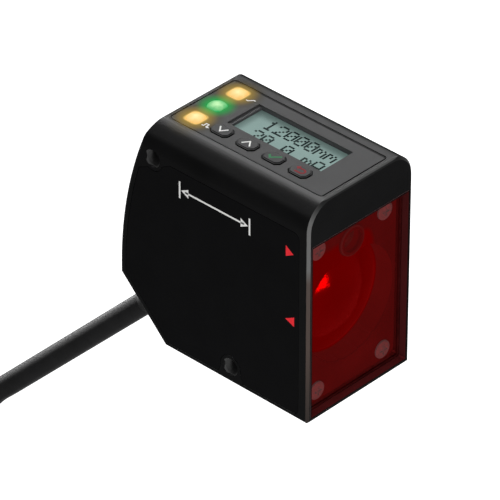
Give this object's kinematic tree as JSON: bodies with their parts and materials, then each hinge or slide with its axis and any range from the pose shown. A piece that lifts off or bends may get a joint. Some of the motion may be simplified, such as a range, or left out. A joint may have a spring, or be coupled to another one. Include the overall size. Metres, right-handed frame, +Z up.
{
  "type": "laser distance sensor",
  "caption": "Box-shaped laser distance sensor with a red front window, a recessed display with push keys and lit indicators on top, and a short cable with a round screw plug.",
  "frame": {"origin": "centre of the lower mounting hole, halfway across the width", "axes": "+Z up with the display on top, -Y towards the target through the red window, +X across the width along both mounting holes"},
  "size_m": [0.0398, 0.1551, 0.2384],
  "materials": {
    "housing_black": "fine satin moulded surface",
    "red_acrylic": "clear red acrylic, polished",
    "seal_rubber": "soft black foam",
    "label_film": "thin printed film, satin black",
    "panel_grey": "satin dark grey",
    "clear_acrylic": "clear acrylic, polished",
    "display_glass": "reflective grey-green character display",
    "white_plastic": "white moulded plastic",
    "board_green": "green board with solder mask",
    "screw_steel": "plain zinc-plated steel",
    "switch_black": "black moulded plastic",
    "led_white": "pale yellow silicone",
    "amber_light": "diffusing amber plastic, lit",
    "green_light": "diffusing green plastic, lit",
    "holder_plastic": "dark moulded plastic seen through red",
    "lens_acrylic": "polished red-tinted lens",
    "gold_can": "gold-plated can",
    "ribbon_film": "amber film",
    "cable_jacket": "smooth satin black cable jacket",
    "boot_rubber": "matte black rubber",
    "plug_black": "black moulded plug body",
    "insert_black": "black contact carrier",
    "contact_gold": "gold-plated contacts",
    "ring_metal": "nickel-plated, satin",
    "key_grey": "satin dark grey cap with a printed sign"
  },
  "bodies": {
    "sensor": {"housing": "housing_black", "window": "red_acrylic", "window_gasket": "seal_rubber", "side_label": "label_film", "top_panel": "panel_grey", "display_window": "clear_acrylic", "lcd_glass": "display_glass", "lcd_frame": "white_plastic", "display_board": "board_green", "display_screws": "screw_steel", "switch_cases": "switch_black", "led_chips": "led_white", "amber_light_pipes": "amber_light", "green_light_pipe": "green_light", "lens_holder": "holder_plastic", "receiver_lens": "lens_acrylic", "emitter_lens": "lens_acrylic", "optics_screws": "screw_steel", "laser_diode": "gold_can", "laser_board": "board_green", "receiver_barrel": "switch_black", "photodiode": "switch_black", "detector_board": "board_green", "board_header": "switch_black", "main_board": "board_green", "board_parts": "switch_black", "main_board_screws": "screw_steel", "display_ribbon": "ribbon_film", "wire_block": "white_plastic", "inner_lead": "cable_jacket", "strain_relief": "boot_rubber", "cable": "cable_jacket", "connector_body": "plug_black", "contact_insert": "insert_black", "contact_pins": "contact_gold"},
    "down_button": {"down_key": "key_grey", "down_plunger": "white_plastic"},
    "up_button": {"up_key": "key_grey", "up_plunger": "white_plastic"},
    "enter_button": {"enter_key": "key_grey", "enter_plunger": "white_plastic"},
    "back_button": {"back_key": "key_grey", "back_plunger": "white_plastic"},
    "ring": {"coupling_ring": "ring_metal"}
  },
  "joints": [
    {"name": "down_press", "type": "slide", "parent": "sensor", "child": "down_button", "axis": [0, 0, -1], "range_m": [0, 0.0005], "stiffness_N_per_m": 600, "springref_m": -0.0005},
    {"name": "up_press", "type": "slide", "parent": "sensor", "child": "up_button", "axis": [0, 0, -1], "range_m": [0, 0.0005], "stiffness_N_per_m": 600, "springref_m": -0.0005},
    {"name": "enter_press", "type": "slide", "parent": "sensor", "child": "enter_button", "axis": [0, 0, -1], "range_m": [0, 0.0005], "stiffness_N_per_m": 600, "springref_m": -0.0005},
    {"name": "back_press", "type": "slide", "parent": "sensor", "child": "back_button", "axis": [0, 0, -1], "range_m": [0, 0.0005], "stiffness_N_per_m": 600, "springref_m": -0.0005},
    {"name": "ring_turn", "type": "hinge", "parent": "sensor", "child": "ring", "pos_m": [0, 0.12015, -0.16585], "axis": [0, 0, 1], "continuous": true}
  ]
}
